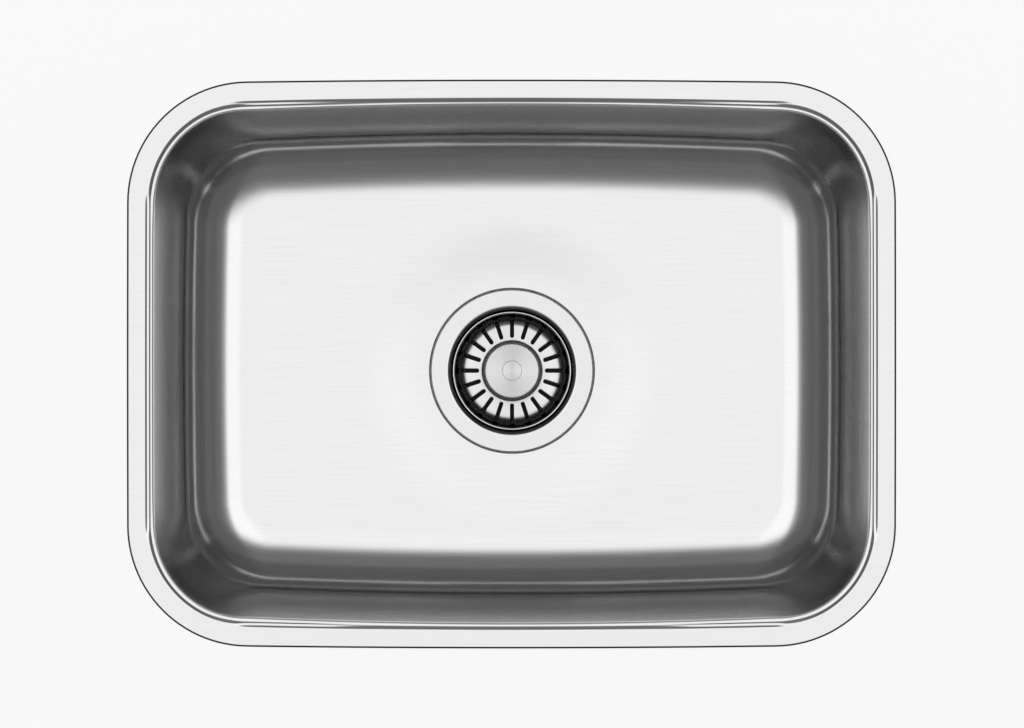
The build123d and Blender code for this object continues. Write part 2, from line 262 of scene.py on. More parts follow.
def satinSteelFinish(look):
    # pressed 18/10 stainless sheet with a satin polish: fine straight scratches along the floor and
    # the flange, and round the walls, which draw highlights out across the grain
    material, tree, surface = startMaterial("satinStainless", look["colour"], 1.0, look["roughness"],
                                            {"Anisotropic": look["anisotropy"], "Anisotropic Rotation": 0.25})
    position = addNode(tree, "ShaderNodeTexCoord").outputs["Object"]
    skin = addNode(tree, "ShaderNodeUVMap", {"uv_map": "surface"})
    normal = addNode(tree, "ShaderNodeNewGeometry").outputs["Normal"]
    # level is 0 on the walls and 1 on the floor and the flange
    rise = addNode(tree, "ShaderNodeSeparateXYZ", inputs={0: normal}).outputs["Z"]
    flatness = addNode(tree, "ShaderNodeMath", {"operation": "ABSOLUTE"}, {0: rise})
    level = addNode(tree, "ShaderNodeMapRange", inputs={
        "Value": flatness, "From Min": look["levelFrom"], "From Max": look["levelFull"]})
    # outer faces point away from a spot over the bowl's middle, and keep the mill's dull grey
    fromSpot = addNode(tree, "ShaderNodeVectorMath", {"operation": "MULTIPLY_ADD"}, {
        0: position, 1: (1.0, 1.0, 0.0), 2: (0.0, 0.0, -look["spotHeight"] * mm)})
    outward = addNode(tree, "ShaderNodeVectorMath", {"operation": "DOT_PRODUCT"}, {
        0: fromSpot, 1: normal}).outputs["Value"]
    outer = addNode(tree, "ShaderNodeMapRange", inputs={"Value": outward, "From Max": look["outerBlend"]})
    long, fine = look["grainLength"], look["grainWidth"]
    flatGrain = stretchedNoise(tree, position, (long, fine, fine))
    wallGrain = stretchedNoise(tree, skin, (long, fine, fine))
    grain = addNode(tree, "ShaderNodeMix", inputs={"Factor": level, 2: wallGrain, 3: flatGrain})
    # the cut edge is the first few millimetres of the skin's own V, where painted shade makes a near-black
    # line
    edgeV = addNode(tree, "ShaderNodeSeparateXYZ", inputs={0: skin}).outputs["Y"]
    paintedEdgeShade = addNode(tree, "ShaderNodeMapRange", inputs={
        "Value": edgeV, "From Min": look["edgeShadeWidth"] * 0.85 * mm, "From Max": look["edgeShadeWidth"] * mm,
        "To Min": 1.0, "To Max": 0.0})
    grainGrey, grainRough = grainSpreads(tree, grain, look)
    grey = addNode(tree, "ShaderNodeMix", inputs={"Factor": paintedEdgeShade, 2: grainGrey, 3: look["edgeShadeGrey"]})
    dulled = addNode(tree, "ShaderNodeMapRange", inputs={
        "Value": outer, "To Min": 1.0, "To Max": look["outerGrey"]})
    grey = addNode(tree, "ShaderNodeMath", {"operation": "MULTIPLY"}, {0: grey, 1: dulled})
    colour = addNode(tree, "ShaderNodeVectorMath", {"operation": "SCALE"}, {
        0: linear(look["colour"])[:3], "Scale": grey})
    sideRough = addNode(tree, "ShaderNodeMapRange", inputs={
        "Value": outer, "To Min": look["roughness"], "To Max": look["outerRoughness"]})
    rough = addNode(tree, "ShaderNodeMath", {"operation": "ADD"}, {0: sideRough, 1: grainRough})
    relief = addNode(tree, "ShaderNodeMapRange", inputs={"Value": level, "To Min": look["wallRelief"]})
    bump = addNode(tree, "ShaderNodeBump", inputs={
        "Strength": relief, "Distance": look["grainDepth"] * mm, "Height": grain})
    aroundWall = addNode(tree, "ShaderNodeTangent", {"direction_type": "UV_MAP", "uv_map": "surface"})
    tangent = addNode(tree, "ShaderNodeMix", {"data_type": "VECTOR"}, {
        "Factor": level, 4: aroundWall, 5: (1.0, 0.0, 0.0)}).outputs[1]
    setInputs(tree, surface, {"Base Color": colour, "Roughness": rough, "Normal": bump, "Tangent": tangent})
    return material


def spunSteelFinish(name, look):
    # spun or lathe-turned stainless: fine rings about the axis, and highlights that fan out from it
    material, tree, surface = startMaterial(name, look["colour"], 1.0, look["roughness"],
                                            {"Anisotropic": look["anisotropy"], "Anisotropic Rotation": 0.25})
    position = addNode(tree, "ShaderNodeTexCoord").outputs["Object"]
    centred = addNode(tree, "ShaderNodeVectorMath", {"operation": "SUBTRACT"}, {
        0: position, 1: (drainX * mm, drainY * mm, 0.0)})
    parts = addNode(tree, "ShaderNodeSeparateXYZ", inputs={0: centred})
    height = parts.outputs["Z"]
    flat = addNode(tree, "ShaderNodeCombineXYZ", inputs={"X": parts.outputs["X"], "Y": parts.outputs["Y"]})
    radius = addNode(tree, "ShaderNodeVectorMath", {"operation": "LENGTH"}, {0: flat}).outputs["Value"]
    rings = addNode(tree, "ShaderNodeCombineXYZ", inputs={"X": radius, "Y": height})
    grain = stretchedNoise(tree, rings, (look["ringWidth"], look["ringWidth"], 1.0), 2.0)
    grey, grainRough = grainSpreads(tree, grain, look)
    if "paintedShadeGrey" in look:
        # painted shade on a drawn wall: its grey is darkened between radii, coming in and going out again,
        # and starts above the wall's foot
        wallStart, wallFull, rimStart, rimFull = (r * mm for r in look["paintedShadeRadii"])
        foot = look["paintedShadeFoot"] * mm
        limits = ((radius, wallStart, wallFull, 0.0, 1.0), (radius, rimStart, rimFull, 1.0, 0.0),
                  (height, foot - 0.5 * mm, foot, 0.0, 1.0))
        wall = 1.0
        for value, start, end, before, after in limits:
            share = addNode(tree, "ShaderNodeMapRange", inputs={
                "Value": value, "From Min": start, "From Max": end, "To Min": before, "To Max": after})
            wall = addNode(tree, "ShaderNodeMath", {"operation": "MULTIPLY"}, {0: wall, 1: share})
        paintedWallShade = addNode(tree, "ShaderNodeMapRange", inputs={
            "Value": wall, "To Min": 1.0, "To Max": look["paintedShadeGrey"]})
        grey = addNode(tree, "ShaderNodeMath", {"operation": "MULTIPLY"}, {0: grey, 1: paintedWallShade})
    colour = addNode(tree, "ShaderNodeVectorMath", {"operation": "SCALE"}, {
        0: linear(look["colour"])[:3], "Scale": grey})
    faceEdge = look["faceRadius"] * mm
    face = addNode(tree, "ShaderNodeMapRange", inputs={
        "Value": radius, "From Min": faceEdge - 0.3 * mm, "From Max": faceEdge + 0.3 * mm,
        "To Min": look["faceRoughness"], "To Max": look["roughness"]})
    rough = addNode(tree, "ShaderNodeMath", {"operation": "ADD"}, {0: face, 1: grainRough})
    bump = addNode(tree, "ShaderNodeBump", inputs={
        "Strength": 1.0, "Distance": look["ringDepth"] * mm, "Height": grain})
    tangent = addNode(tree, "ShaderNodeTangent", {"direction_type": "UV_MAP", "uv_map": "surface"})
    setInputs(tree, surface, {"Base Color": colour, "Roughness": rough, "Normal": bump, "Tangent": tangent})
    return material


def grainyFinish(name, look):
    # a surface with an even fine grain in its colour, gloss and relief, and a faint cloud over it
    metallic = look.get("metallic", 0.0)
    material, tree, surface = startMaterial(name, look["colour"], metallic, look["roughness"])
    position = addNode(tree, "ShaderNodeTexCoord").outputs["Object"]
    fineSize, cloudSize = look["grain"], look["grain"] * 14
    fineGrain = stretchedNoise(tree, position, (fineSize, fineSize, fineSize), 4.0)
    cloud = stretchedNoise(tree, position, (cloudSize, cloudSize, cloudSize), 2.0)
    both = addNode(tree, "ShaderNodeMix", inputs={"Factor": 0.4, 2: fineGrain, 3: cloud})
    grey, rough = grainSpreads(tree, both, look, look["roughness"])
    colour = addNode(tree, "ShaderNodeVectorMath", {"operation": "SCALE"}, {
        0: linear(look["colour"])[:3], "Scale": grey})
    bump = addNode(tree, "ShaderNodeBump", inputs={
        "Strength": 1.0, "Distance": look["depth"] * mm, "Height": fineGrain})
    setInputs(tree, surface, {"Base Color": colour, "Roughness": rough, "Normal": bump})
    return material


satinSteel = satinSteelFinish({
    "colour": "#DBDBDB", "roughness": 0.15, "roughSpread": 0.03, "anisotropy": 0.4,
    "grainLength": 45.0, "grainWidth": 0.8,  # real scratches are 0.05 mm wide, drawn coarser to show
    # the cut edge's grey is painted shade: a near-black line along the flange's outer edge
    "grainDepth": 0.0004, "wallRelief": 0.1, "greySpread": 0.03, "edgeShadeWidth": 2.25, "edgeShadeGrey": 0.05,
    "levelFrom": 0.90, "levelFull": 0.98,  # how far up the normal points where walls turn to level sheet
    "spotHeight": 250.0, "outerBlend": 0.005, "outerGrey": 0.62, "outerRoughness": 0.36})
# a bright polished flange, and a throat darkened to near black by painted shade
strainerSteel = spunSteelFinish("spunStainless", {
    "colour": "#D6D6D6", "roughness": 0.13, "faceRadius": 20.0, "faceRoughness": 0.2, "roughSpread": 0.02,
    "paintedShadeRadii": (20.0, 30.0, 42.8, 44.5), "paintedShadeFoot": strainerHigh[2] - 4.5, "paintedShadeGrey": 0.08,
    "anisotropy": 0.3, "ringWidth": 0.7, "ringDepth": 0.0008, "greySpread": 0.02})
# a bright pressed floor, and the drawn wall darkened by painted shade
basketSteel = spunSteelFinish("pressedStainless", {
    "colour": "#D8D8D8", "roughness": 0.1, "faceRadius": 31.0, "faceRoughness": 0.22, "roughSpread": 0.02,
    "paintedShadeRadii": (30.6, 33.8, 39.3, 39.7), "paintedShadeFoot": -240.0, "paintedShadeGrey": 0.3,
    "anisotropy": 0.6, "ringWidth": 0.6, "ringDepth": 0.0005, "greySpread": 0.03})
# fine lathe rings, which spread the light into a fan about the middle
turnedSteel = spunSteelFinish("turnedStainless", {
    "colour": "#E6E6E6", "roughness": 0.2, "faceRadius": 18.3, "faceRoughness": 0.34, "roughSpread": 0.03,
    "anisotropy": 0.93, "ringWidth": 0.5, "ringDepth": 0.0005, "greySpread": 0.03})
# strip as it leaves the mill: an even grey gloss with no direction
millSteel = grainyFinish("millStainless", {
    "colour": "#C9CACA", "metallic": 1.0, "roughness": 0.3, "roughSpread": 0.05, "grain": 0.5,
    "greySpread": 0.05, "depth": 0.004})
# bare machined brass: warm yellow and softly bright
brass = grainyFinish("plainBrass", {
    "colour": "#C9A55C", "metallic": 1.0, "roughness": 0.28, "roughSpread": 0.05, "grain": 0.5,
    "greySpread": 0.06, "depth": 0.004})
# chrome over polished brass: cool, and nearly a mirror
platedBrass = grainyFinish("chromedBrass", {
    "colour": "#BCC0C4", "metallic": 1.0, "roughness": 0.08, "roughSpread": 0.03, "grain": 1.5,
    "greySpread": 0.02, "depth": 0.002})
# die-cast zinc: mid grey, with the faint pits and dull skin of a casting
castZinc = grainyFinish("castZinc", {
    "colour": "#A9ACAE", "metallic": 1.0, "roughness": 0.42, "roughSpread": 0.08, "grain": 0.7,
    "greySpread": 0.1, "depth": 0.02})
# moulded nitrile: near black, with a soft dull sheen
blackRubber = grainyFinish("blackRubber", {
    "colour": "#202022", "roughness": 0.55, "roughSpread": 0.08, "grain": 0.5, "greySpread": 0.15,
    "depth": 0.01})
# moulded sealing ring: off-white and waxy
whiteSeal = grainyFinish("whiteSealant", {
    "colour": "#E4E2DC", "roughness": 0.5, "roughSpread": 0.06, "grain": 0.8, "greySpread": 0.04,
    "depth": 0.01})
# pressed card: buff, fibrous and quite without gloss
card = grainyFinish("pressedCard", {
    "colour": "#B59A73", "roughness": 0.85, "roughSpread": 0.05, "grain": 0.4, "greySpread": 0.12,
    "depth": 0.03})
# bitumen sheet: dark grey, coarse and matte
padRubber = grainyFinish("bitumenPad", {
    "colour": "#3A3B3D", "roughness": 0.8, "roughSpread": 0.08, "grain": 0.9, "greySpread": 0.18,
    "depth": 0.08})
print("finishes ready,", len(bpy.data.materials), "materials")


bowl = {
    "corner": 82.0, "bowLong": 2.5, "bowShort": 0.5,
    "mouth": 18.5,                  # inset of the mouth from the flange's outer edge
    "lean": 18.7, "depth": 200.0,
    "baseCorner": 60.0, "baseBowLong": 7.0, "baseBowShort": 3.5,
    "floorInset": 74.5,             # where the floor's round starts
    "lowRound": 47.0, "highRound": 24.0,  # the round is slack below 45 degrees and tight above
    "cornerRound": 47.5, "cornerLean": 20.0,  # the corners' walls: one round, and their lean above it
    "sheet": 1.2,
    "edgeRound": 0.85,              # worn round of the cut edge
    # steps of the ledge inside the flange, as (start, end, drop): two along the sides, which run into
    # one wide step at the middle of the long sides and another in the corners
    "steps": ((12.1, 13.8, 0.7), (14.75, 16.15, 0.5)), "wideStep": (12.0, 15.6), "cornerStep": (13.6, 16.6),
    "wideFrom": 165.0, "wideFull": 75.0,
    "ledgeEnd": 17.45, "mouthRound": 1.2,
    "longHalf": 178.0, "mouthOutLong": 1.65, "mouthOutShort": 0.9, "stepsBow": 1.0, "outDepth": 185.0,
    "fallRadius": 108.0, "fall": 1.5, "recess": 56.5, "recessSlope": 0.7, "recessDepth": 2.0, "hole": 45.0,
    "shortColumns": 18, "cornerColumns": 26, "longColumns": 26,
}
bowlLow, bowlHigh = boxMm("bowl")
halfX, halfY = bowlHigh[0], bowlHigh[1]


def bowContour(inset, z, tighter=0.0):
    # outline of the bowl at each row: shallow side arcs of radius (half chord^2 + bow^2) / (2 bow),
    # joined by corner arcs centred where circles of (side radius - corner radius) cross
    share = np.clip(-z / bowl["depth"], 0, 1.05)
    inFlange = inset < bowl["mouth"] - 1e-6
    wallInset = np.where(inFlange, inset, bowl["mouth"] + bowl["lean"] * share)
    share = np.where(inFlange, 0, share)
    shift = inset - wallInset
    bowLong = bowl["bowLong"] + (bowl["baseBowLong"] - bowl["bowLong"]) * share
    bowShort = bowl["bowShort"] + (bowl["baseBowShort"] - bowl["bowShort"]) * share
    mouthCorner = bowl["corner"] - bowl["mouth"]
    corner = np.where(inFlange, bowl["corner"] - inset,
                      mouthCorner + (bowl["baseCorner"] - mouthCorner) * share) - shift - tighter
    chordX, chordY = halfX - wallInset - bowShort, halfY - wallInset - bowLong
    longArc = (chordX ** 2 + bowLong ** 2) / (2 * bowLong) - shift
    shortArc = (chordY ** 2 + bowShort ** 2) / (2 * bowShort) - shift
    longCentre, shortCentre = halfY - inset - longArc, halfX - inset - shortArc
    toLong, toShort = longArc - corner, shortArc - corner
    apart = np.hypot(longCentre, shortCentre)
    along = (toLong ** 2 - toShort ** 2 + apart ** 2) / (2 * apart)
    aside = np.sqrt(toLong ** 2 - along ** 2)
    cornerX = (along * shortCentre - aside * longCentre) / apart
    cornerY = longCentre - (along * longCentre + aside * shortCentre) / apart
    shortEnd = np.arctan2(cornerY, cornerX - shortCentre)
    longEnd = np.arctan2(cornerX, cornerY - longCentre)
    shortTurn = shortEnd * np.linspace(0, 1, bowl["shortColumns"], endpoint=False)
    cornerShare = np.linspace(0, 1, bowl["cornerColumns"], endpoint=False)
    cornerTurn = shortEnd + (np.pi / 2 - longEnd - shortEnd) * cornerShare
    longTurn = longEnd * np.linspace(1, 0, bowl["longColumns"] + 1)
    x = np.concatenate([shortCentre + shortArc * np.cos(shortTurn), cornerX + corner * np.cos(cornerTurn),
                        longArc * np.sin(longTurn)], 1)
    y = np.concatenate([shortArc * np.sin(shortTurn), cornerY + corner * np.sin(cornerTurn),
                        longCentre + longArc * np.cos(longTurn)], 1)
    # the quarter from +X to +Y, then its mirror images round the other three quarters
    ringX = np.concatenate([x[:, :-1], -x[:, :0:-1], -x[:, :-1], x[:, :0:-1]], 1)
    ringY = np.concatenate([y[:, :-1], y[:, :0:-1], -y[:, :-1], -y[:, :0:-1]], 1)
    return ringX, ringY


def cornerInset(depth, topDepth, topInset, floorInset):
    # where the middle of a corner's wall stands: upright at the mouth and curving in with the cube of
    # the depth, until it meets, at its steepest lean, one arc down to the floor
    lean, radius = math.radians(bowl["cornerLean"]), bowl["cornerRound"]
    centreDepth = bowl["depth"] - radius
    meetDepth = centreDepth + radius * math.sin(lean)
    meetInset = floorInset - radius * math.cos(lean)
    share = np.clip((depth - topDepth) / (meetDepth - topDepth), 0, 1)
    arc = floorInset - np.sqrt(np.clip(radius ** 2 - (depth - centreDepth) ** 2, 0, None))
    return np.where(depth < meetDepth, topInset + (meetInset - topInset) * share ** 3, arc)


def cornerTightening(insets, heights, wallTop):
    # what to take off each row's corner radius so that the corners' walls follow cornerInset: the
    # middle of a corner moves out by (root 2 - 1) for every millimetre taken off
    middle = bowl["shortColumns"] + bowl["cornerColumns"] // 2
    tighter = np.zeros_like(insets)
    for _ in range(4):
        x, y = bowContour(insets[:, None], heights[:, None], tighter[:, None])
        reach = np.hypot(x[:, middle] - x[1, middle], y[:, middle] - y[1, middle])
        wanted = cornerInset(-heights, -heights[wallTop], reach[wallTop], reach[-1])
        tighter[wallTop:] += ((reach - wanted) / (math.sqrt(2) - 1))[wallTop:]
    return tighter


def columnShares():
    # how far each column belongs to a corner, a short side and a long side, with soft changes
    first, last = bowl["shortColumns"], bowl["shortColumns"] + bowl["cornerColumns"]
    spots = np.arange(last + bowl["longColumns"] + 1)
    quarters = (smooth(spots, first - 1, first + 3) * smooth(spots, last + 1, last - 3),
                smooth(spots, first + 3, first - 4), smooth(spots, last - 9, last + 1))
    return [np.concatenate([q[:-1], q[:0:-1], q[:-1], q[:0:-1]])[None, :] for q in quarters]


def moveMouth(x, y, insets, heights):
    # moves the mouth's rows out, most at the middle of the long sides, and bows the steps there:
    # out = (1 - depth / full depth)^1.1 * (ledge share * (1 - (x / half)^2) * long move
    # - bow * (x / half)^2), which stays under the sheet's thickness where the pads lie
    short, long = columnShares()[1:]
    along = np.clip(np.abs(x[:1]) / bowl["longHalf"], 0, 1) ** 2
    fade = np.clip(1 + heights / bowl["outDepth"], 0, 1) ** 1.1
    onLedge = np.clip((insets - 13.5) / (bowl["ledgeEnd"] - 13.5), 0, 1) * fade
    outLong = long * onLedge * (1 - along) * bowl["mouthOutLong"]
    outShort = short * onLedge * bowl["mouthOutShort"]
    bow = long * smooth(insets, 11.0, 12.1) * fade * along * bowl["stepsBow"]
    wide = long * smooth(np.abs(x[:1]), bowl["wideFrom"], bowl["wideFull"])
    return x + np.sign(x) * outShort, y + np.sign(y) * (outLong - bow), insets - outLong - outShort, wide


def stepHeights(inset, wide):
    # height of the ledge: the sum of drop * smooth step, blended between the sides' and corners' steps
    corner = columnShares()[0]
    total = sum(drop for _, _, drop in bowl["steps"])
    two = -sum(drop * smooth(inset, start, end) for start, end, drop in bowl["steps"])
    side = two * (1 - wide) - total * smooth(inset, *bowl["wideStep"]) * wide
    return side * (1 - corner) - total * smooth(inset, *bowl["cornerStep"]) * corner


def baseRound(grow):
    # profile of the round from the wall down to the floor: two arcs that meet at 45 degrees, each
    # grown by a distance about its own centre
    lean = math.atan2(bowl["lean"], bowl["depth"])
    low, high = bowl["lowRound"], bowl["highRound"]
    lowCentre = np.array([bowl["floorInset"], low - bowl["depth"]])
    highCentre = lowCentre + (high - low) * math.sqrt(0.5)
    turn = np.linspace(lean, math.pi / 2, 44)[:, None]
    radius = np.where(turn < math.pi / 4, high, low) + grow
    centre = np.where(turn < math.pi / 4, highCentre, lowCentre)
    return centre - radius * np.concatenate([np.cos(turn), np.sin(turn)], 1)


def insideRows():
    # rows from the cut edge over the flange, the small steps and the mouth's round, down the wall and
    # the round of the floor, with the ledge's first row and the row after its last, and the wall's top row
    edge = bowl["edgeRound"]
    turn = np.radians(np.linspace(180, 90, 7))
    cut = np.stack([edge + edge * np.cos(turn), -edge + edge * np.sin(turn)], 1)
    cut = np.concatenate([[[0.1, -bowl["sheet"]], [0.0, -bowl["sheet"] + 0.1]], cut])
    flange = [edge + 0.12, edge + 0.5, 2.5, 5.0, 8.0, 10.5, 11.8]
    steps = np.arange(12.1, bowl["ledgeEnd"], 0.12)
    insets = np.concatenate([cut[:, 0], flange, steps])
    heights = np.zeros(len(insets))
    heights[:len(cut)] = cut[:, 1]
    total = sum(drop for _, _, drop in bowl["steps"])
    # mouth's round: an arc from level to the wall's lean
    lean = math.atan2(bowl["lean"], bowl["depth"])
    radius = bowl["mouthRound"]
    centreZ = -total - radius
    centreInset = bowl["mouth"] - centreZ * math.tan(lean) - radius / math.cos(lean)
    turn = np.linspace(math.pi / 2, lean, 9)
    mouth = np.stack([centreInset + radius * np.cos(turn), centreZ + radius * np.sin(turn)], 1)
    base = baseRound(0.0)
    wall = np.linspace(mouth[-1], base[0], 26)[1:-1]
    lower = np.concatenate([mouth, wall, base])
    wallTop = len(insets) + len(mouth) - 1
    return np.append(insets, lower[:, 0]), np.append(heights, lower[:, 1]), (len(cut), len(insets)), wallTop


def outsideRows():
    # rows of the outer face, one sheet away, from the round of the floor back up to the flange
    sheet = bowl["sheet"]
    lean = math.atan2(bowl["lean"], bowl["depth"])
    base = baseRound(sheet)[::-2]
    top = -sum(drop for _, _, drop in bowl["steps"]) - sheet
    topInset = bowl["mouth"] - top * math.tan(lean) - sheet / math.cos(lean)
    wall = np.linspace(base[-1], [topInset + 0.03, top - 0.5], 16)[1:]
    under = np.array([[topInset - 0.15, top - 0.1], [topInset - 0.6, top], [15.2, top], [13.2, top],
                      [12.2, top + 0.1], [11.6, -sheet - 0.15], [11.0, -sheet], [8.0, -sheet], [4.0, -sheet],
                      [1.0, -sheet], [0.4, -sheet]])
    return np.concatenate([base, wall, under])


def makeBowl():
    # one closed skin: rows down the inside, over the floor to the drain's hole, and back up the outside
    insets, heights, (ledgeFrom, ledgeTo), wallTop = insideRows()
    tighter = cornerTightening(insets, heights, wallTop)
    x, y = bowContour(insets[:, None], heights[:, None], tighter[:, None])
    x, y, stepInsets, wide = moveMouth(x, y, insets[:, None], heights[:, None])
    z = np.repeat(heights[:, None], x.shape[1], 1)
    z[ledgeFrom:ledgeTo] = stepHeights(stepInsets, wide)[ledgeFrom:ledgeTo]
    inside = np.stack([x, y, z], -1)
    # floor: straight runs from the round's last row to circles about the drain
    lastX, lastY = x[-1], y[-1]
    bearing = np.arctan2(lastY - drainY, lastX - drainX)

    def circle(radius, height):
        # a row round the drain, each point on the bearing of its own column
        return np.stack([drainX + radius * np.cos(bearing), drainY + radius * np.sin(bearing),
                         np.full_like(bearing, height)], -1)

    fallStart = circle(bowl["fallRadius"], -bowl["depth"])
    shares = np.linspace(0, 1, 9)[1:, None, None]
    level = inside[-1][None] * (1 - shares) + fallStart[None] * shares
    brim = bowl["recess"] + bowl["recessSlope"]
    radii = np.linspace(bowl["fallRadius"], brim + 0.4, 14)[1:]
    falling = [circle(r, -bowl["depth"] - bowl["fall"] * smooth(r, bowl["fallRadius"], brim)) for r in radii]
    brimFloor = -bowl["depth"] - bowl["fall"]
    recessFloor = brimFloor - bowl["recessDepth"]
    edgePath = bent([(brim + 0.6, brimFloor), (brim - 0.1, brimFloor), (bowl["recess"] - 0.1, recessFloor),
                     (bowl["recess"] - 1.6, recessFloor)], [0.5, 0.4], 15)
    edge = [circle(r, h) for r, h in edgePath[1:]]
    under = recessFloor - bowl["sheet"]
    hole = [circle(bowl["hole"] + 0.2, recessFloor), circle(bowl["hole"], recessFloor - 0.2),
            circle(bowl["hole"], under + 0.2), circle(bowl["hole"] + 0.2, under)]
    lowered = [circle(bowl["recess"] + 0.6, under), circle(brim + 1.0, brimFloor - bowl["sheet"] - 0.1)]
    lowered += [circle(r, -bowl["depth"] - bowl["sheet"] - bowl["fall"] * smooth(r, bowl["fallRadius"], brim))
                for r in np.linspace(brim + 3, bowl["fallRadius"], 7)]
    outer = outsideRows()
    outerTighter = np.interp(-outer[:, 1:], -heights[wallTop:], tighter[wallTop:], 0, 0)
    outX, outY = bowContour(outer[:, :1], outer[:, 1:], outerTighter)
    outX, outY = moveMouth(outX, outY, outer[:, :1], outer[:, 1:])[:2]
    outside = np.stack([outX, outY, np.repeat(outer[:, 1:], outX.shape[1], 1)], -1)
    lowestRun = circle(bowl["fallRadius"], -bowl["depth"] - bowl["sheet"])
    shares = np.linspace(0, 1, 6)[1:-1, None, None]
    levelUnder = lowestRun[None] * (1 - shares) + outside[0][None] * shares
    points = np.concatenate([inside, level, np.array(falling), np.array(edge), np.array(hole),
                             np.array(lowered), levelUnder, outside])
    piece = gridPiece("bowl_shell", points, "sink", satinSteel, ["bowl"])
    print("bowl:", len(piece.data.polygons), "faces")


makeBowl()


strainer = {
    "sheet": 1.2, "throat": 42.0, "lipBend": 2.6, "throatDeep": 37.0, "seatDeep": 40.0, "seatOuter": 34.0,
    "cupBend": 6.0, "outlet": 22.9, "outletDeep": 10.0, "neck": 19.5, "lipRound": 1.4, "smallBend": 0.8,
    "pitch": 2.0, "threadHeight": 1.0, "threadTop": 6.2, "threadTurns": 11,
    "neckThreadHeight": 1.5, "neckThreadTurns": 6,
}
strainerTop = strainerHigh[2]
neckEnd = strainerLow[2]
flangeRadius = (strainerHigh[0] - strainerLow[0]) / 2


def helix(height, angle, top, turns, rise):
    # a screw thread: rise * clip((0.45 - |distance to the ridge in pitches|) / 0.35), faded at both ends
    pitch = strainer["pitch"]
    phase = (top - height) / pitch + angle / (2 * np.pi)
    toRidge = np.abs(phase - np.floor(phase) - 0.5)
    ends = smooth(height, top, top - pitch) * smooth(height, top - turns * pitch, top - (turns - 1) * pitch)
    return rise * np.clip((0.45 - toRidge) / 0.35, 0, 1) * ends


def makeStrainer():
    # the cup's profile carried round the drain's axis: flange, throat, seat ledge, outlet and neck
    half = strainer["sheet"] / 2
    throat = strainer["throat"] + half
    outlet = strainer["outlet"] + half
    neck = strainer["neck"] + half
    seat = strainerTop - strainer["seatDeep"]
    floor = seat - strainer["outletDeep"]
    path = bent([(flangeRadius - 0.02, strainerTop - half), (throat, strainerTop - half),
                 (throat, strainerTop - strainer["throatDeep"]), (strainer["seatOuter"], seat - half),
                 (outlet, seat - half), (outlet, floor - half), (neck, floor - half), (neck, neckEnd)],
                [strainer["lipBend"], strainer["cupBend"], strainer["cupBend"], strainer["lipRound"],
                 strainer["smallBend"], strainer["smallBend"]], 10)
    outline = sheetOutline(divided(path, 0.3), strainer["sheet"])
    # the inner face needs fewer rows, so every fourth of its straight ones stays
    keep = np.ones(len(outline), bool)
    inner = np.abs(outline[:, :1] - [strainer["throat"], strainer["neck"]]).min(1) < 0.01
    keep[np.flatnonzero(inner)[1::2]] = False
    keep[np.flatnonzero(inner)[2::4]] = False
    outline = outline[keep]
    throatOuter = strainer["throat"] + strainer["sheet"]
    neckOuter = strainer["neck"] + strainer["sheet"]

    def threads(radius, height, angle):
        # a helix down the throat's outside and another down the neck's
        onThroat = np.abs(radius - throatOuter) < 0.02
        onNeck = np.abs(radius - neckOuter) < 0.02
        upper = helix(height, angle, strainerTop - strainer["threadTop"], strainer["threadTurns"],
                      strainer["threadHeight"])
        lower = helix(height, angle, neckEnd + (strainer["neckThreadTurns"] + 0.4) * strainer["pitch"],
                      strainer["neckThreadTurns"], strainer["neckThreadHeight"])
        return np.where(onThroat, upper, 0) + np.where(onNeck, lower, 0)

    piece = turnedPiece("strainer_cup", outline, "sink", strainerSteel, ["strainer_body"],
                        168, threads)
    print("strainer:", len(piece.data.polygons), "faces")


makeStrainer()


basket = {
    "sheet": 0.7, "bore": 4.58, "floorRadius": 38.2, "bend": 8.0, "rimWidth": 0.8, "rimBend": 0.5,
    "slots": 20, "slotInner": 22.7, "slotOuter": 35.4, "slotWidth": 2.8, "webColumns": 8,
}
basketLow, basketHigh = boxMm("basket")
basketFloor = basketLow[2] + basket["sheet"]
basketRim = basketHigh[2]
basketRadius = (basketHigh[0] - basketLow[0]) / 2


